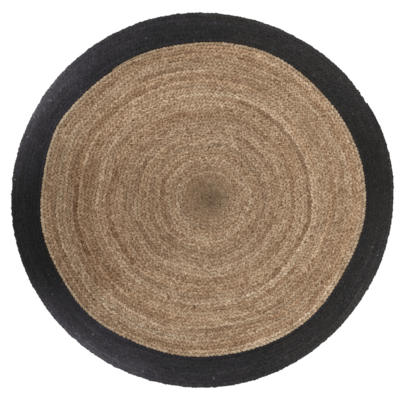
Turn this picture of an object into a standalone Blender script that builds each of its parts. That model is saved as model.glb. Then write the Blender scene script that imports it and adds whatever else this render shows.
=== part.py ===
"""Round braided jute rug: a flat natural disc with a black border braided round it.

Both pieces are one long three-strand braid, coiled flat and sewn row to row. The natural braid
makes the field, and a dyed braid goes on round it as the border. Here each piece is the flat
solid that its rows fill. Metres, +Z up. The rug lies on z = 0, its outline centred on the origin.
"""

import math

import bpy

COLLECTION_NAME = "round_jute_rug"

# Driving sizes
RUG_MEAN_RADIUS = 0.750     # half of the nominal 1.5 m
ROW_WIDTH = 0.014           # one row of braid, side to side
BORDER_ROWS = 8
BORDER_EASE = 0.002         # the border's rows are sewn a little looser, in all
RUG_THICKNESS = 0.010       # one braid, top to bottom
PIECE_GAP = 0.0003          # between the border and the field
EDGE_ROUND = 0.0035         # how round the side of a row is

# Detail of the faceted outline
OUTLINE_POINTS = 144
ROUND_STEPS = 2

FIELD_MEAN_RADIUS = RUG_MEAN_RADIUS - BORDER_ROWS * ROW_WIDTH - BORDER_EASE

# How far each outline strays from a circle: LOBES bulges round the rug, each OUT metres proud,
# one of them in the direction TOWARDS, in degrees from +X towards +Y.
# Columns: LOBES, OUT, TOWARDS
RIM_WAVES = (
    (1, 0.0020, 95),
    (2, 0.0075, 10),
    (3, 0.0030, 20),
    (4, 0.0020, 15),
)
SEAM_WAVES = (
    (1, 0.0035, 45),
    (2, 0.0105, 10),
    (3, 0.0010, 60),
    (5, 0.0030, 5),
    (6, 0.0015, 5),
    (7, 0.0015, 5),
    (9, 0.0020, 30),
    (10, 0.0010, 10),
    (11, 0.0010, 25),
)

# Where an outline swells over the sewn-in end of a braid: OUT metres proud in the direction
# TOWARDS, and gone WIDE degrees to either side.
# Columns: OUT, TOWARDS, WIDE
RIM_SWELLINGS = ((0.0035, 19, 20),)
SEAM_SWELLINGS = ((0.0030, 152, 8),)

JUTE = ("natural_jute", (0.38, 0.26, 0.16), 0.90)
BLACK_JUTE = ("black_jute", (0.020, 0.019, 0.020), 0.85)


def clear_scene():
    for thing in list(bpy.data.objects):
        bpy.data.objects.remove(thing, do_unlink=True)


def make_collection(name):
    collection = bpy.data.collections.new(name)
    bpy.context.scene.collection.children.link(collection)
    return collection


def make_material(name, colour, roughness):
    material = bpy.data.materials.new(name)
    material.use_nodes = True
    shader = material.node_tree.nodes["Principled BSDF"]
    shader.inputs["Base Color"].default_value = (*colour, 1.0)
    shader.inputs["Roughness"].default_value = roughness
    shader.inputs["Metallic"].default_value = 0.0
    return material


def wave(angle, lobes, out, towards):
    """How far proud one wave round the outline is in one direction."""
    return out * math.cos(lobes * (angle - math.radians(towards)))


def swelling(angle, out, towards, wide):
    """How far proud one local swelling is in one direction."""
    aside = (math.degrees(angle) - towards + 180) % 360 - 180
    if abs(aside) >= wide:
        return 0.0
    return out * (1 + math.cos(math.pi * aside / wide)) / 2


def outline(mean_radius, waves, swellings):
    """Points round a nearly round outline, counter-clockwise."""
    points = []
    for step in range(OUTLINE_POINTS):
        angle = 2 * math.pi * step / OUTLINE_POINTS
        radius = mean_radius + sum(wave(angle, *row) for row in waves)
        radius += sum(swelling(angle, *row) for row in swellings)
        points.append((radius * math.cos(angle), radius * math.sin(angle)))
    return points


def rim():
    return outline(RUG_MEAN_RADIUS, RIM_WAVES, RIM_SWELLINGS)


def seam(gap):
    """The line between the two pieces, a gap inside the border's own edge."""
    return outline(FIELD_MEAN_RADIUS - gap, SEAM_WAVES, SEAM_SWELLINGS)


def box_middle(points):
    """The middle of the outline's bounding box."""
    xs = [x for x, y in points]
    ys = [y for x, y in points]
    return (min(xs) + max(xs)) / 2, (min(ys) + max(ys)) / 2


def moved(points, middle):
    return [(x - middle[0], y - middle[1]) for x, y in points]


def flat_piece(name, outlines, material, collection):
    """A flat slab between z = 0 and the rug's thickness, with all its edges rounded.

    The first outline is the outer one, and a second one is the hole.
    """
    curve = bpy.data.curves.new(name, "CURVE")
    curve.dimensions = "2D"
    curve.fill_mode = "BOTH"
    curve.extrude = RUG_THICKNESS / 2 - EDGE_ROUND
    curve.bevel_depth = EDGE_ROUND
    curve.bevel_resolution = ROUND_STEPS - 1
    curve.offset = -EDGE_ROUND      # so that the rounding ends at the outline
    for points in outlines:
        spline = curve.splines.new("POLY")
        spline.points.add(len(points) - 1)
        for point, (x, y) in zip(spline.points, points):
            point.co = (x, y, 0.0, 1.0)
        spline.use_cyclic_u = True
    curve.materials.append(material)

    piece = bpy.data.objects.new(name, curve)
    piece.location = (0.0, 0.0, RUG_THICKNESS / 2)
    collection.objects.link(piece)

    weld = piece.modifiers.new("join the caps", "WELD")
    weld.merge_threshold = 0.00005
    return piece


def make_field(middle, collection):
    """The natural disc, inside the border."""
    outlines = [moved(seam(PIECE_GAP), middle)]
    return flat_piece("jute_field", outlines, make_material(*JUTE), collection)


def make_border(middle, collection):
    """The black ring of rows round the disc."""
    outlines = [moved(rim(), middle), moved(seam(0.0), middle)]
    return flat_piece("black_border", outlines, make_material(*BLACK_JUTE), collection)


def main():
    clear_scene()
    collection = make_collection(COLLECTION_NAME)
    middle = box_middle(rim())
    make_field(middle, collection)
    make_border(middle, collection)


main()
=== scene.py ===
"""Looks of the round braided jute rug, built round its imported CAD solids.

The rug is one long three-strand braid, coiled flat and sewn row to row: natural jute from the
centre to the seam, then a black-dyed braid to the rim. Every strand is modelled as a tube that
follows its own path through the plait. A place on the rug is worked out from how many rows it
is from the centre and its direction, between the two outlines read from the CAD solids.
Metres, +Z up, seen straight down with +X to the right and +Y up the picture.
"""

import math

import bpy
import numpy as np
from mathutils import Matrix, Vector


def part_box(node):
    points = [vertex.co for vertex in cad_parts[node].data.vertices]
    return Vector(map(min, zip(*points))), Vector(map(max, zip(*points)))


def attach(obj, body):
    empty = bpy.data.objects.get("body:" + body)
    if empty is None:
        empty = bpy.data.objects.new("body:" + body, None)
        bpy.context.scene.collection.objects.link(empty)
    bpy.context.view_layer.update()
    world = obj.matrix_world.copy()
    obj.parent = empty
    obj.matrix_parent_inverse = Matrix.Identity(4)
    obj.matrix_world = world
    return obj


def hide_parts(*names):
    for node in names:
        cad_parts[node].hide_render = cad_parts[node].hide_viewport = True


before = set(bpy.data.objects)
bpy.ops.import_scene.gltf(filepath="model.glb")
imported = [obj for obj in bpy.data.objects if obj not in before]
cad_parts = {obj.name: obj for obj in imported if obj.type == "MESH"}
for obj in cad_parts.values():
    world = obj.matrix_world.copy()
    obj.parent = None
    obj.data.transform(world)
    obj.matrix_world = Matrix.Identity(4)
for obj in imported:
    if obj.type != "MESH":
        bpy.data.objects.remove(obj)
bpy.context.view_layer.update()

TAU = 2 * math.pi
SEED = 8

# The coil. Turns are counted from its centre, and a braid at turn t fills rows t to t + 1.
NATURAL_ROWS = 46
BORDER_ROWS = 8
COIL_CENTRE = (0.0330, 0.0055)      # the coil starts a little right of the rug's middle
COIL_START = -0.65                  # turns: the braid's first end fills the middle
SEAM_END_AT = math.radians(132)     # the direction in which the natural braid ends
RIM_END_AT = math.radians(38)       # and the one in which the black braid ends
SPLICE = 0.08                       # turns over which a braid thins out before its end
TAIL = 0.25                         # of a row: how narrow a braid gets before it is cut
NATURAL_END = NATURAL_ROWS - 0.5 + SPLICE / 2
BLACK_END = NATURAL_END + BORDER_ROWS + (RIM_END_AT - SEAM_END_AT) / TAU
TURN_STEPS = 720                    # points at which a turn's length is measured

# How far a row laid by hand strays from its true place: waves round the rug that turn a little
# from row to row. Columns: rows to either side, waves round, turn per row, start
STRAY_WAVES = (
    (0.16, 5, 0.11, 0.4),
    (0.12, 7, -0.17, 2.1),
    (0.10, 9, 0.23, 4.0),
    (0.07, 13, -0.31, 1.2),
    (0.05, 17, 0.42, 5.3),
    (0.08, 31, 1.10, 0.7),
    (0.06, 47, -1.70, 3.1),
)
STRAY_START = 0.25                  # for each wave round: rows from the centre to its full size
STRAY_FREE = 4                      # rows from the seam or the rim to where a row strays freely

# One row of braid
STRANDS = 3
PLAIT = 0.0144                      # from one plait to the next along the row
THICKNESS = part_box("jute_field")[1].z
STRAND_WIDTH = 0.75                 # of the row
STRAND_HEIGHT = 0.50                # of the thickness
SWING = 0.29                        # of the row: how far a strand goes to either side
CLIMB = 0.25                        # of the thickness: how far it goes up and down
TWIST = 14                          # turns of a strand's fibres in a metre
EDGE_PULL = 0.40                    # how much less a strand swings in the rows along the edges
EDGE_SPREAD = 0.12                  # and how much wider it is there
WORN_TURNS = 8                      # from the centre, over which the braid is worn flatter
WORN_RELIEF = 0.6                   # of the rest's: how high its plaits still are in the middle
BLACK_RELIEF = 0.7                  # of the natural braid's: the black one is pulled flatter

# Detail of the strands
NATURAL_STEPS = 11                  # along a strand, from one side of the row and back again
BLACK_STEPS = 10
SIDES = 5
NATURAL_PIECES = 12
BLACK_PIECES = 4

# The ground is a thin closed sheet low in the braid, dark between the strands with painted shade.
GROUND_LOW = 0.15 * THICKNESS
GROUND_HIGH = 0.25 * THICKNESS
GROUND_INSET = 0.004                # from the rim
GROUND_GAP = 0.0003                 # between the two grounds, and round the middle
GROUND_JOINT = 0.003                # inside the seam, where the last natural row covers it
GROUND_POINTS = 180
GROUND_RINGS = 4
GROUND_SHADE_TONE = -0.6

# Tone is 0 for a material's plain colour. At -0.1 it is about 8 levels of 255 darker, and a
# little deeper in colour. The tones lie alike on both sides of one line across the rug.
TONE_AXIS = 10.25                   # degrees
STREAK_FADE = 4.0                   # degrees past each end of a band or streak
BAND_EDGE = 2.5                     # rows over which a band fades at each side
STREAK_EDGE = 1.0
STREAK_SHARES = (1.4, 0.9, 0.7)     # how strong a streak is in each of the three strands

# Where the natural braid is darker or lighter. Bands are wide, and alike in all three strands.
# Streaks are narrow, and clearest in one strand. Each is so many rows wide round one of the
# rows, which are counted from the centre, and between two angles aside of the axis, in degrees.
# Columns: row, rows wide, from, to, tone
BANDS = (
    (0.0, 5.4, 0, 180, -0.60),
    (1.3, 1.6, 0, 180, -0.10),
    (3.8, 2.2, 0, 180, -0.28),
    (6.0, 2.2, 0, 180, -0.12),
    (6.2, 4.0, 105, 180, -0.05),
    (6.5, 8.0, 0, 180, -0.12),
    (8.5, 6.0, 100, 122, -0.07),
    (8.8, 3.0, 0, 180, 0.05),
    (10.0, 4.0, 20, 80, 0.03),
    (16.0, 8.0, 0, 180, -0.06),
    (17.5, 11.0, 140, 180, -0.06),
    (20.0, 6.0, 75, 138, -0.04),
    (22.0, 4.0, 0, 78, -0.05),
    (26.0, 2.0, 118, 142, 0.06),
    (30.0, 4.0, 162, 180, -0.08),
    (34.0, 3.0, 0, 180, 0.06),
    (35.4, 6.0, 165, 180, -0.08),
    (38.0, 3.0, 0, 55, -0.05),
    (38.4, 14.0, 150, 180, -0.13),
    (41.5, 6.0, 82, 140, -0.04),
)
STREAKS = (
    (4.8, 1.0, 95, 160, -0.14),
    (9.0, 1.4, 122, 180, 0.08),
    (12.3, 1.0, 45, 145, 0.11),
    (13.5, 1.0, 105, 180, -0.12),
    (14.0, 1.0, 8, 60, -0.08),
    (14.6, 1.4, 0, 180, -0.05),
    (17.5, 1.0, 105, 180, -0.11),
    (19.1, 1.0, 100, 180, 0.12),
    (19.4, 1.0, 27, 47, -0.22),
    (20.1, 1.0, 133, 168, -0.27),
    (21.6, 1.0, 145, 180, -0.24),
    (22.3, 1.2, 10, 40, 0.12),
    (22.5, 1.0, 75, 100, 0.08),
    (24.0, 1.0, 45, 62, -0.12),
    (26.1, 1.0, 95, 112, -0.14),
    (27.4, 1.2, 150, 180, -0.30),
    (28.0, 1.0, 60, 118, 0.10),
    (28.5, 1.2, 98, 150, -0.17),
    (29.4, 1.0, 5, 60, -0.19),
    (31.0, 1.0, 62, 92, 0.13),
    (31.1, 1.0, 0, 60, 0.09),
    (32.0, 1.0, 0, 60, 0.09),
    (34.0, 1.0, 76, 88, -0.14),
    (34.0, 1.0, 140, 165, -0.28),
    (35.2, 1.0, 24, 45, 0.15),
    (35.9, 1.0, 120, 135, -0.18),
    (36.3, 1.0, 166, 180, -0.30),
    (36.6, 1.0, 50, 83, -0.11),
    (37.2, 1.0, 80, 118, 0.11),
    (37.2, 1.2, 112, 150, -0.20),
    (37.9, 1.0, 153, 161, -0.32),
    (38.2, 1.0, 105, 145, 0.09),
    (38.6, 1.0, 90, 108, -0.26),
    (40.6, 1.0, 65, 98, -0.09),
    (41.2, 1.0, 18, 30, -0.12),
    (42.0, 1.0, 42, 60, -0.10),
    (42.0, 1.0, 150, 180, -0.17),
    (43.5, 1.0, 85, 133, -0.18),
    (43.7, 1.0, 0, 60, 0.14),
    (44.2, 1.0, 135, 166, -0.12),
    (44.5, 1.0, 40, 60, 0.16),
    (44.5, 1.0, 60, 80, 0.06),
    (45.4, 1.0, 0, 45, -0.04),
    (45.4, 1.0, 45, 90, 0.05),
    (45.4, 1.0, 90, 135, -0.03),
    (45.4, 1.0, 135, 180, 0.05),
)

# The far end of the axis is darker and greyer than the rest of the natural braid.
FAR_SIDE = (105, 170)               # degrees aside of the axis, from none of it to all
FAR_TURNS = 12                      # from the centre, over which it grows
FAR_TONE = -0.09
FAR_TINT = 0.09

# The rest of the natural braid's tint, which is 0 for its plain colour and 1 for a greyer one
PLAIN_TINT = 0.24
SOILED_TINT = 0.50                  # more at the centre, where the rug is soiled
SOILED_TURNS = 24                   # from the centre, over which it fades
SOILED_POWER = 1.2                  # how soon it fades: evenly at 1, and sooner above it
CORE_TINT = 0.25                    # more again at the centre
CORE_TURNS = 3.5                    # over which that fades
DYED_TINT = 0.22                    # more in the outer rows on the far side, next to the dye
DYED_SIDE = (80, 140)               # degrees aside of the axis, from none of it to all
DYED_ROWS = (34, 44)                # and the rows
EDGE_TINT = 0.42                    # more in the last row, along the seam

# The black braid's tone at the seam and at the rim, and how violet it is, from 0 to 1. This is
# partly the dye's own tone, and partly a painted sheen: the paler, more violet patch towards the
# rim, from about 112 to 157 degrees aside of the axis.
# Columns: degrees aside of the axis, tone at the seam, tone at the rim, violet
DYE_AND_SHEEN = (
    (5, -0.08, 0.05, 0.0),
    (30, 0.00, 0.16, 0.0),
    (68, -0.01, 0.13, 0.1),
    (82, -0.06, 0.07, 0.4),
    (97, -0.06, 0.08, 0.6),
    (112, -0.02, 0.17, 0.8),
    (128, 0.02, 0.34, 1.0),
    (142, 0.02, 0.36, 1.0),
    (157, -0.11, 0.17, 0.8),
    (170, -0.26, -0.11, 0.4),
)

# A strand's own tone, and the light and shade painted on it
CREST_PAINTED_LIGHT = 0.05                   # painted highlight on the crest of each plait, and painted shade where the strand dives
PALEST = 0.22                       # the most that a natural strand is paler than its braid
TONE_IN_TINT = 0.1                  # of its own tone: how much is added to its tint
PAINTED_SHADE_DEPTHS = (0.30, 0.75)         # of the thickness, below the top: from no painted shade to all of it
NATURAL_PAINTED_SHADE = -0.12               # the tone of the painted shade, deep between the strands
BLACK_PAINTED_LIGHT = 0.18                  # painted light: paler deep between the black strands, so that their gaps hardly show

# What varies at random, as a sum of smooth drifts along the braid or along one strand.
# Columns: size, metres from one random value to the next
PLAIT_DRIFTS = ((0.07, 0.5), (0.16, 0.05))          # of the plait
WIDTH_DRIFTS = ((0.10, 0.05), (0.08, 0.012))        # of the strand's width
SWING_DRIFTS = ((0.22, 0.02),)                      # of its swing
CLIMB_DRIFTS = ((0.10, 0.04),)                      # of its climb
NATURAL_YARN = ((0.03, 5.0), (0.055, 1.5), (0.045, 0.4))        # tone of all three strands
BLACK_YARN = ((0.01, 0.5), (0.02, 0.12))
NATURAL_TINTS = ((0.09, 3.0), (0.09, 0.3))                      # and their tint
BLACK_TINTS = ((0.2, 0.15),)
NATURAL_FIBRE = ((0.09, 0.060), (0.03, 0.020), (0.16, 0.007))   # tone of one strand
BLACK_FIBRE = ((0.02, 0.10), (0.03, 0.020), (0.03, 0.007))

# Flecks, which show where one more such drift goes above a rare value.
# Columns: tone, metres from one random value to the next, rare value
DARK_HUSKS = (-0.8, 0.010, 1.8)
PALE_ENDS = (0.35, 0.007, 1.9)

# Colours: plain, tinted, and what tone -1 multiplies them by
JUTE = ((0.344, 0.213, 0.122), (0.320, 0.248, 0.170), (0.30, 0.217, 0.160))
# the black's tinted colour is violet, the colour of its painted sheen
BLACK_JUTE = ((0.0204, 0.0192, 0.0180), (0.0214, 0.0196, 0.0235), (0.02, 0.02, 0.02))

# The materials' map of fibres, and the one for baking
FIBRES_ALONG = 70.0                 # in a metre of strand
FIBRES_ROUND = 6.0                  # round it
STRAND_OFFSET = 10.0                # metres of the map from one strand to the next
GROUND_WAYS_ROUND = 20              # how many ways round a strand a metre of ground stands for
CELL_HEIGHT = 4.4                   # of a cell's length
CELL_MARGIN = 0.03                  # of a cell's height
CAP_RADIUS = 0.4                    # of a cell

# Surroundings
FLOOR_REACH = 6.0
FLOOR_GREY = 0.9
ROOM_LIGHT = 0.55
KEY_LIGHT = 2.3
KEY_SPREAD = math.radians(20)
KEY_LEAN = math.radians(-15)        # from straight down, about both axes

# Camera
PHOTO_WIDTH = 400                   # pixels
METRES_PER_PIXEL = 1.5 / 378        # the rug's mean diameter is 378 pixels
CAMERA_AT = (-0.0095, 0.0006)
LENS = 85.0
SENSOR = 36.0

random = np.random.default_rng(SEED)


# ---------------------------------------------------------------- where the rows lie

def read_outlines():
    """The seam and the rim as functions of direction, from the two sides of the black ring."""
    points = np.array([v.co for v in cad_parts["black_border"].data.vertices])
    upright = np.abs(points[:, 2] - THICKNESS / 2) < THICKNESS / 4
    around = np.arctan2(points[upright, 1], points[upright, 0])
    out = np.hypot(points[upright, 0], points[upright, 1])
    outer = out > (out.min() + out.max()) / 2

    def outline(chosen):
        return lambda direction: np.interp(direction, around[chosen], out[chosen], period=TAU)

    return outline(~outer), outline(outer)


seam, rim = read_outlines()


def rows_within(direction, end_at, end):
    """How many rows lie inside the seam or the rim: one more for each turn, and one less again
    along the splice."""
    past = (direction - end_at) / TAU % 1.0
    thinned = np.clip((past - 1 + SPLICE) / SPLICE, 0, 1)
    return end + past - thinned


def seam_rows(direction):
    return rows_within(direction, SEAM_END_AT, NATURAL_END)


def rim_rows(direction):
    return rows_within(direction, RIM_END_AT, BLACK_END)


def strayed(row, direction):
    """How far, in rows, a row laid by hand strays from its true place."""
    return sum(
        size * np.sin(waves * direction + turn * row + start)
        * np.clip(row / (STRAY_START * waves), 0, 1)
        for size, waves, turn, start in STRAY_WAVES
    )


def place(row, direction):
    """Where on the rug the place is that lies so many rows from the centre of the coil."""
    to_seam, to_rim = seam_rows(direction), rim_rows(direction)
    free = np.minimum(np.abs(row - to_seam), np.abs(to_rim - row)) / STRAY_FREE
    row = row + strayed(row, direction) * np.clip(free, 0, 1)
    inside = row / to_seam
    border = (row - to_seam) / (to_rim - to_seam)
    out = np.where(
        row < to_seam,
        seam(direction) * inside,
        seam(direction) + (rim(direction) - seam(direction)) * border,
    )
    centring = np.clip(1 - inside, 0, None)
    x = out * np.cos(direction) + centring * COIL_CENTRE[0]
    y = out * np.sin(direction) + centring * COIL_CENTRE[1]
    return np.stack([x, y], axis=-1)


# ---------------------------------------------------------------- smooth and random values

def rise(value, start, end):
    """From 0 where the value is at the start to 1 where it is at the end, with level ends."""
    part = np.clip((value - start) / (end - start), 0, 1)
    return part * part * (3 - 2 * part)


def drift(length, spacing):
    """Smooth random values along a braid, with a new one every spacing."""
    at = (length - length[0]) / spacing
    values = random.normal(size=int(at[-1]) + 2)
    low = at.astype(int)
    part = rise(at - low, 0, 1)
    return values[low] * (1 - part) + values[low + 1] * part


def drifts(length, table):
    return sum(size * drift(length, spacing) for size, spacing in table)


def flecks(length, tone, spacing, rare):
    """Mostly 0, and a tone where a random value is above a rare one."""
    return tone * np.clip(drift(length, spacing) - rare, 0, None)


# ---------------------------------------------------------------- braids

class Braid:
    """A braid's even samples: where it is on the coil, and how far each strand has plaited.

    The relief, tone, streak and tint at each sample are set by whatever makes the braid.
    """

    def __init__(self, start, end, steps):
        turns = np.linspace(start, end, int((end - start) * TURN_STEPS))
        middle = place(turns + 0.5, self.direction_at(turns))
        pace = np.hypot(*np.diff(middle, axis=0).T)
        length = np.concatenate([[0], np.cumsum(pace)])
        plait = PLAIT * (1 + drifts(length, PLAIT_DRIFTS))
        plaited = np.concatenate([[0], np.cumsum(pace / (STRANDS * plait[1:]))])
        even = np.arange(0, plaited[-1], 1 / steps)
        self.phase = TAU * even
        self.turns = np.interp(even, plaited, turns)
        self.length = np.interp(even, plaited, length)
        self.direction = self.direction_at(self.turns)
        self.inner = self.turns.copy()
        self.outer = self.turns + 1
        self.relief = np.ones(len(even))
        self.tone = np.zeros(len(even))
        self.streak = np.zeros(len(even))
        self.tint = np.zeros(len(even))

    @staticmethod
    def direction_at(turns):
        return SEAM_END_AT + TAU * (turns - NATURAL_END)

    def middle(self):
        """Rows from the centre of the coil to the middle of the braid."""
        return (self.inner + self.outer) / 2

    def aside(self):
        """Degrees from the tone axis, to either side."""
        return np.abs((np.degrees(self.direction) - TONE_AXIS + 180) % 360 - 180)

    def at_edge(self):
        """1 in the rows along the seam and the rim, and 0 in the others."""
        to_seam = np.abs(seam_rows(self.direction) - self.middle())
        to_rim = np.abs(rim_rows(self.direction) - self.middle())
        return np.clip(1.5 - np.minimum(to_seam, to_rim), 0, 1)


def natural_row(braid):
    """The row that a braid is in, where the seam is at the same row all round."""
    return NATURAL_ROWS * braid.middle() / seam_rows(braid.direction)


def streaks(braid, table, edge):
    """The tone that a table of bands or streaks gives the natural braid, half of it at the sides,
    where each fades over an edge of so many rows."""
    row = natural_row(braid)
    aside = braid.aside()
    tone = np.zeros(len(row))
    for at, rows_wide, start, end, streak in table:
        across = rise(np.abs(row - at), (rows_wide + edge) / 2, (rows_wide - edge) / 2)
        beyond = np.maximum(start - aside, aside - end)
        tone += streak * across * np.clip(1 - beyond / STREAK_FADE, 0, 1)
    return tone


def far_side(braid):
    """How far a place on the natural braid has the far side's looks, from 0 to 1."""
    return rise(braid.aside(), *FAR_SIDE) * np.clip(braid.turns / FAR_TURNS, 0, 1)


def natural_tint(braid):
    """How grey the natural braid is: soiled in the middle, and greyer next to the dyed one."""
    soiled = SOILED_TINT * np.clip(1 - braid.turns / SOILED_TURNS, 0, 1) ** SOILED_POWER
    core = CORE_TINT * rise(braid.turns, CORE_TURNS, 0)
    dyed = DYED_TINT * rise(braid.aside(), *DYED_SIDE) * rise(natural_row(braid), *DYED_ROWS)
    by_place = PLAIN_TINT + soiled + core + FAR_TINT * far_side(braid) + dyed
    return by_place + EDGE_TINT * braid.at_edge() + drifts(braid.length, NATURAL_TINTS)


def make_natural_braid():
    """The natural braid, which is worn flatter near the middle of the rug, and thins away along
    its outer side before its end."""
    braid = Braid(COIL_START, NATURAL_END - SPLICE * TAIL, NATURAL_STEPS)
    thinning = braid.turns > NATURAL_END - SPLICE
    braid.outer[thinning] = seam_rows(braid.direction[thinning])
    braid.relief = np.clip(braid.turns / WORN_TURNS, WORN_RELIEF, 1)

    yarn = drifts(braid.length, NATURAL_YARN) * braid.relief
    braid.tone = streaks(braid, BANDS, BAND_EDGE) + FAR_TONE * far_side(braid) + yarn
    braid.streak = streaks(braid, STREAKS, STREAK_EDGE)
    braid.tint = natural_tint(braid)
    return braid


def make_black_braid():
    """The black braid, which begins outside the natural one's thinned end, and thins away in the
    same way before its own."""
    braid = Braid(NATURAL_END - SPLICE * (1 - TAIL), BLACK_END - SPLICE * TAIL, BLACK_STEPS)
    beginning = braid.turns < NATURAL_END
    braid.inner[beginning] = seam_rows(braid.direction[beginning])
    thinning = braid.turns > BLACK_END - SPLICE
    braid.outer[thinning] = rim_rows(braid.direction[thinning])
    braid.relief *= BLACK_RELIEF

    # The table paints the dye's tone and violet, and a sheen: paler and more violet towards the rim.
    at, at_seam, at_rim, violet = np.array(DYE_AND_SHEEN).T
    outward = ((braid.middle() - seam_rows(braid.direction)) / BORDER_ROWS) ** 2
    aside = braid.aside()
    dye_and_sheen = np.interp(aside, at, at_seam) * (1 - outward) + np.interp(aside, at, at_rim) * outward
    braid.tone = dye_and_sheen + drifts(braid.length, BLACK_YARN)
    braid.tint = np.interp(aside, at, violet) + drifts(braid.length, BLACK_TINTS)
    return braid


def strand_rings(braid, strand):
    """The points of one strand's tube, a ring of them for each sample of the braid."""
    length = braid.length
    lane = braid.outer - braid.inner
    edge = braid.at_edge()
    angle = braid.phase + TAU * strand / STRANDS
    fat = 1 + drifts(length, WIDTH_DRIFTS)
    sway = np.sin(angle) + drifts(length, SWING_DRIFTS)
    row = braid.middle() + lane * SWING * (1 - EDGE_PULL * edge) * sway
    wide = fat * (1 + EDGE_SPREAD * edge) / np.sqrt(braid.relief)
    half_width = lane * STRAND_WIDTH / 2 * wide
    across = (
        place(row + half_width, braid.direction) - place(row - half_width, braid.direction)
    ) / 2
    centre = place(row, braid.direction)
    climb = CLIMB * braid.relief * (np.sin(2 * angle) + drifts(length, CLIMB_DRIFTS))
    height = THICKNESS * (0.5 + climb * np.sqrt(lane))
    half_height = THICKNESS * STRAND_HEIGHT / 2 * np.sqrt(lane) / fat

    # The first side is at the bottom, where the map's edge doesn't show.
    around = TAU * (np.arange(SIDES) / SIDES - 0.25)
    rings = np.empty((len(length), SIDES, 3))
    rings[:, :, :2] = centre[:, None] + across[:, None] * np.cos(around)[None, :, None]
    rings[:, :, 2] = height[:, None] + half_height[:, None] * np.sin(around)
    rings[:, :, 2] = np.clip(rings[:, :, 2], 0, None)
    return rings


def shade_between(rings, shade):
    """The tone painted on a strand where it lies deep between the others: painted shade on the
    natural braid, and painted light on the black one.
    """
    depth = 1 - rings[:, :, 2] / THICKNESS
    return shade * rise(depth, *PAINTED_SHADE_DEPTHS)


def natural_strand_tone(braid, strand):
    """One strand's own changes of tone: a painted highlight on the crest of each plait and painted
    shade where it dives, batches of fibre, and now and then a dark husk."""
    painted_crest = CREST_PAINTED_LIGHT * np.sin(2 * (braid.phase + TAU * strand / STRANDS))
    fibre = drifts(braid.length, NATURAL_FIBRE) * braid.relief
    return np.minimum(painted_crest + fibre, PALEST) + flecks(braid.length, *DARK_HUSKS)


def black_strand_tone(braid, strand):
    """One strand's own changes of tone, with a few paler ends of fibre."""
    return drifts(braid.length, BLACK_FIBRE) + flecks(braid.length, *PALE_ENDS)


# ---------------------------------------------------------------- meshes

def add_object(name, points, faces, material):
    mesh = bpy.data.meshes.new(name)
    mesh.from_pydata(points, [], faces)
    mesh.materials.append(material)
    made = bpy.data.objects.new(name, mesh)
    bpy.context.scene.collection.objects.link(made)
    return made


def add_map(mesh, name, along, across):
    layer = mesh.uv_layers.new(name=name)
    corners = np.stack([along.ravel(), across.ravel()], axis=-1)
    layer.data.foreach_set("uv", corners.astype(np.float32).ravel())


def add_values(mesh, name, values):
    attribute = mesh.attributes.new(name, "FLOAT", "POINT")
    attribute.data.foreach_set("value", values.astype(np.float32).ravel())


def tube_faces(tubes, rings):
    """The sides and the two caps of each tube, whose points run side by side, ring by ring."""
    point = np.arange(tubes * rings * SIDES).reshape(tubes, rings, SIDES)
    after = np.roll(point, -1, axis=2)
    sides = np.stack([point[:, :-1], point[:, 1:], after[:, 1:], after[:, :-1]], axis=-1)
    caps = np.concatenate([point[:, 0], point[:, -1, ::-1]])
    return sides.reshape(-1, 4), caps


def add_fibre_map(mesh, length, tubes):
    """The map that the material's fibres follow: metres along the strand, and the way round it,
    turned by the twist of the strand."""
    ring = np.arange(len(length) - 1)[None, :, None, None] + np.array([0, 1, 1, 0])
    side = np.arange(SIDES)[None, None, :, None] + np.array([0, 0, 1, 1])
    tube = np.arange(tubes)[:, None, None, None]
    along = length[ring] + STRAND_OFFSET * tube
    way_round = side / SIDES + TWIST * along
    along = np.broadcast_to(along, way_round.shape)
    cap_corners = np.zeros(2 * tubes * SIDES)
    add_map(
        mesh, "Fibre",
        np.concatenate([along.ravel(), cap_corners]),
        np.concatenate([way_round.ravel(), cap_corners]),
    )


def add_bake_map(mesh, rings, tubes):
    """A map with no overlaps: the tubes' lengths between two rings lie in strips, one cell each,
    and the caps follow them."""
    lengths = tubes * (rings - 1)
    strips = round(math.sqrt(lengths / CELL_HEIGHT))
    per_strip = math.ceil((lengths + 2 * tubes) / strips)
    cell = np.arange(lengths)[:, None, None]
    part = np.array([0, 1, 1, 0])[None, None, :]
    way = (np.arange(SIDES)[None, :, None] + np.array([0, 0, 1, 1])) / SIDES
    cell, part, way = (values.ravel() for values in np.broadcast_arrays(cell, part, way))

    cap = lengths + np.arange(2 * tubes)[:, None]
    turn = TAU * np.arange(SIDES)[None, :] / SIDES
    cap, turn = (values.ravel() for values in np.broadcast_arrays(cap, turn))
    cell = np.concatenate([cell, cap])
    part = np.concatenate([part, 0.5 + CAP_RADIUS * np.cos(turn)])
    way = np.concatenate([way, 0.5 + CAP_RADIUS * np.sin(turn)])
    along = (cell % per_strip + part) / per_strip
    across = (cell // per_strip + CELL_MARGIN + (1 - 2 * CELL_MARGIN) * way) / strips
    add_map(mesh, "OFBake", along, across)


def piece_of_braid(name, length, rings, tones_and_painted_light, tints, material):
    """The mesh of a stretch of the braid, all its strands, closed at both ends."""
    tubes = len(rings)
    sides, caps = tube_faces(tubes, len(length))
    piece = add_object(name, rings.reshape(-1, 3).tolist(), sides.tolist() + caps.tolist(), material)
    mesh = piece.data
    is_side = np.arange(len(mesh.polygons)) < len(sides)
    mesh.polygons.foreach_set("use_smooth", is_side)
    add_fibre_map(mesh, length, tubes)
    add_bake_map(mesh, len(length), tubes)
    add_values(mesh, "tone", tones_and_painted_light)
    add_values(mesh, "tint", np.broadcast_to(tints[:, :, None], tones_and_painted_light.shape))
    return piece


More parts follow.
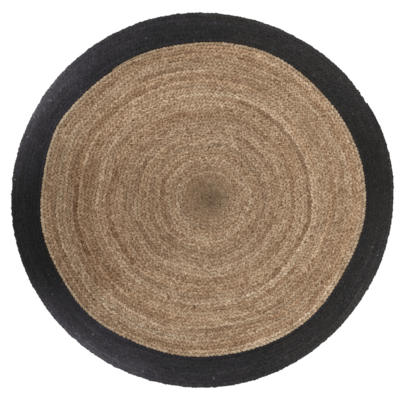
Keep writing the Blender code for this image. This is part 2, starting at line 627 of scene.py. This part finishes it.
def braid_pieces(name, braid, strand_tone, shade, count, material):
    """The whole braid in a number of pieces of the same length."""
    rings, tones_and_painted_light, tints = [], [], []
    for strand in range(STRANDS):
        rings.append(strand_rings(braid, strand))
        own_tone = strand_tone(braid, strand)
        tone = braid.tone + STREAK_SHARES[strand] * braid.streak + own_tone
        # each strand's tone, with the light and shade painted on it
        tones_and_painted_light.append(tone[:, None] + shade_between(rings[-1], shade))
        tints.append(np.clip(braid.tint + TONE_IN_TINT * own_tone, 0, 1))
    rings, tones_and_painted_light, tints = np.array(rings), np.array(tones_and_painted_light), np.array(tints)
    cuts = np.linspace(0, len(braid.turns) - 1, count + 1).astype(int)
    pieces = []
    for number, (low, high) in enumerate(zip(cuts, cuts[1:] + 1)):
        stretch = slice(low, high)
        pieces.append(piece_of_braid(
            f"{name}_{number + 1:02d}", braid.length[stretch],
            rings[:, stretch], tones_and_painted_light[:, stretch], tints[:, stretch], material))
    return pieces


def ground_rings(inner, outer):
    """Rings of points from the inner outline to the outer one, at z = 0."""
    direction = TAU * np.arange(GROUND_POINTS) / GROUND_POINTS
    share = np.linspace(0, 1, GROUND_RINGS)[:, None]
    out = inner(direction) * (1 - share) + outer(direction) * share
    return np.stack([out * np.cos(direction), out * np.sin(direction), 0 * out], axis=-1)


def make_ground(name, inner, outer, material):
    """A thin closed sheet between two outlines: rings outwards on top, and back underneath."""
    rings = ground_rings(inner, outer)
    top = rings + (0, 0, GROUND_HIGH)
    bottom = rings[::-1] + (0, 0, GROUND_LOW)
    points = np.concatenate([top, bottom]).reshape(-1, 3)
    point = np.arange(len(points)).reshape(2 * GROUND_RINGS, GROUND_POINTS)
    after = np.roll(point, -1, axis=1)
    following = np.roll(point, -1, axis=0)
    following_after = np.roll(after, -1, axis=0)
    quads = np.stack([point, following, following_after, after], axis=-1).reshape(-1, 4)
    ground = add_object(name, points.tolist(), quads.tolist(), material)
    corners = points[quads]
    add_map(ground.data, "Fibre", corners[:, :, 0], GROUND_WAYS_ROUND * corners[:, :, 1])
    # the ground's dark tone is painted shade
    add_values(ground.data, "tone", np.full(len(points), GROUND_SHADE_TONE))
    return ground


# ---------------------------------------------------------------- materials

def new_material(name, roughness):
    material = bpy.data.materials.new(name)
    material.use_nodes = True
    shader = material.node_tree.nodes["Principled BSDF"]
    shader.inputs["Roughness"].default_value = roughness
    return material, shader


def add_node(material, kind, **settings):
    node = material.node_tree.nodes.new(kind)
    for setting, value in settings.items():
        setattr(node, setting, value)
    return node


def fibre_noise(material):
    """Streaks along the strands."""
    link = material.node_tree.links.new
    fibre_map = add_node(material, "ShaderNodeUVMap", uv_map="Fibre")
    scaled = add_node(material, "ShaderNodeMapping")
    scaled.inputs["Scale"].default_value = (FIBRES_ALONG, FIBRES_ROUND, 1.0)
    noise = add_node(material, "ShaderNodeTexNoise", noise_dimensions="2D")
    noise.inputs["Scale"].default_value = 1.0
    noise.inputs["Detail"].default_value = 4.0
    noise.inputs["Roughness"].default_value = 0.7
    link(fibre_map.outputs["UV"], scaled.inputs["Vector"])
    link(scaled.outputs["Vector"], noise.inputs["Vector"])
    return noise.outputs["Fac"]


def make_braid_material(name, colours, roughness, shine, contrast, bump):
    """Colour by each strand's tone and tint, with fibres along the strand."""
    material, shader = new_material(name, roughness)
    shader.inputs["Specular IOR Level"].default_value = shine
    link = material.node_tree.links.new
    fibre = fibre_noise(material)
    tone = add_node(material, "ShaderNodeAttribute", attribute_name="tone")
    tint = add_node(material, "ShaderNodeAttribute", attribute_name="tint")

    plain, other, darkening = [(*colour, 1.0) for colour in colours]
    tinted = add_node(material, "ShaderNodeMix", data_type="RGBA")
    tinted.inputs["A"].default_value = plain
    tinted.inputs["B"].default_value = other
    link(tint.outputs["Fac"], tinted.inputs["Factor"])
    fibre_depth = add_node(material, "ShaderNodeMath", operation="MULTIPLY_ADD")
    fibre_depth.inputs[1].default_value = contrast
    fibre_depth.inputs[2].default_value = -contrast / 2
    link(fibre, fibre_depth.inputs[0])
    depth = add_node(material, "ShaderNodeMath", operation="SUBTRACT")
    link(fibre_depth.outputs["Value"], depth.inputs[0])
    link(tone.outputs["Fac"], depth.inputs[1])
    darkened = add_node(material, "ShaderNodeGamma")
    darkened.inputs["Color"].default_value = darkening
    link(depth.outputs["Value"], darkened.inputs["Gamma"])
    toned = add_node(material, "ShaderNodeMix", data_type="RGBA", blend_type="MULTIPLY")
    toned.inputs["Factor"].default_value = 1.0
    link(tinted.outputs["Result"], toned.inputs["A"])
    link(darkened.outputs["Color"], toned.inputs["B"])
    link(toned.outputs["Result"], shader.inputs["Base Color"])

    relief = add_node(material, "ShaderNodeBump")
    relief.inputs["Distance"].default_value = bump
    link(fibre, relief.inputs["Height"])
    link(relief.outputs["Normal"], shader.inputs["Normal"])
    return material


def make_jute():
    return make_braid_material(
        "natural_jute", JUTE, roughness=0.9, shine=0.2, contrast=1.1, bump=0.0008)


def make_black_jute():
    return make_braid_material(
        "black_jute", BLACK_JUTE, roughness=0.8, shine=0.15, contrast=0.25, bump=0.0005)


# ---------------------------------------------------------------- surroundings

def make_floor():
    material, shader = new_material("pale_floor", 0.9)
    shader.inputs["Base Color"].default_value = (FLOOR_GREY, FLOOR_GREY, FLOOR_GREY, 1.0)
    low, high = -FLOOR_REACH, FLOOR_REACH
    corners = [(low, low, 0), (high, low, 0), (high, high, 0), (low, high, 0)]
    add_object("floor", corners, [(0, 1, 2, 3)], material)


def make_camera():
    camera = bpy.data.cameras.new("camera")
    camera.lens = LENS
    camera.sensor_width = SENSOR
    seen = bpy.data.objects.new("camera", camera)
    view_width = PHOTO_WIDTH * METRES_PER_PIXEL
    seen.location = (*CAMERA_AT, THICKNESS + view_width * LENS / SENSOR)
    bpy.context.scene.collection.objects.link(seen)
    bpy.context.scene.camera = seen


def make_lights():
    """An even pale room, and one soft light from high up at the upper left of the picture."""
    world = bpy.data.worlds.new("soft_room")
    world.use_nodes = True
    world.node_tree.nodes["Background"].inputs["Color"].default_value = (1, 1, 1, 1)
    world.node_tree.nodes["Background"].inputs["Strength"].default_value = ROOM_LIGHT
    bpy.context.scene.world = world
    bpy.context.scene.view_settings.view_transform = "Standard"

    lamp = bpy.data.lights.new("soft_key", "SUN")
    lamp.energy = KEY_LIGHT
    lamp.angle = KEY_SPREAD
    key = bpy.data.objects.new("soft_key", lamp)
    key.rotation_euler = (KEY_LEAN, KEY_LEAN, 0)
    bpy.context.scene.collection.objects.link(key)


# ---------------------------------------------------------------- the rug

def dress(node, pieces):
    """Stands pieces in for a CAD node."""
    for piece in pieces:
        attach(piece, "root")
        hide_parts(node)


def make_field():
    """The natural disc."""
    jute = make_jute()
    braids = braid_pieces(
        "natural_braid", make_natural_braid(), natural_strand_tone, NATURAL_PAINTED_SHADE,
        NATURAL_PIECES, jute)
    ground = make_ground(
        "jute_ground", lambda a: 0 * a + GROUND_GAP,
        lambda a: seam(a) - GROUND_JOINT - GROUND_GAP, jute)
    dress("jute_field", [ground] + braids)


def make_border():
    """The black ring."""
    black = make_black_jute()
    braids = braid_pieces(
        "black_braid", make_black_braid(), black_strand_tone, BLACK_PAINTED_LIGHT,
        BLACK_PIECES, black)
    ground = make_ground(
        "black_ground", lambda a: seam(a) - GROUND_JOINT, lambda a: rim(a) - GROUND_INSET, black)
    dress("black_border", [ground] + braids)
    directions = np.linspace(0, TAU, GROUND_POINTS, endpoint=False)
    strip_length = TAU * np.mean(seam(directions) + rim(directions)) / 2


make_camera()
make_lights()
make_floor()
make_field()
make_border()
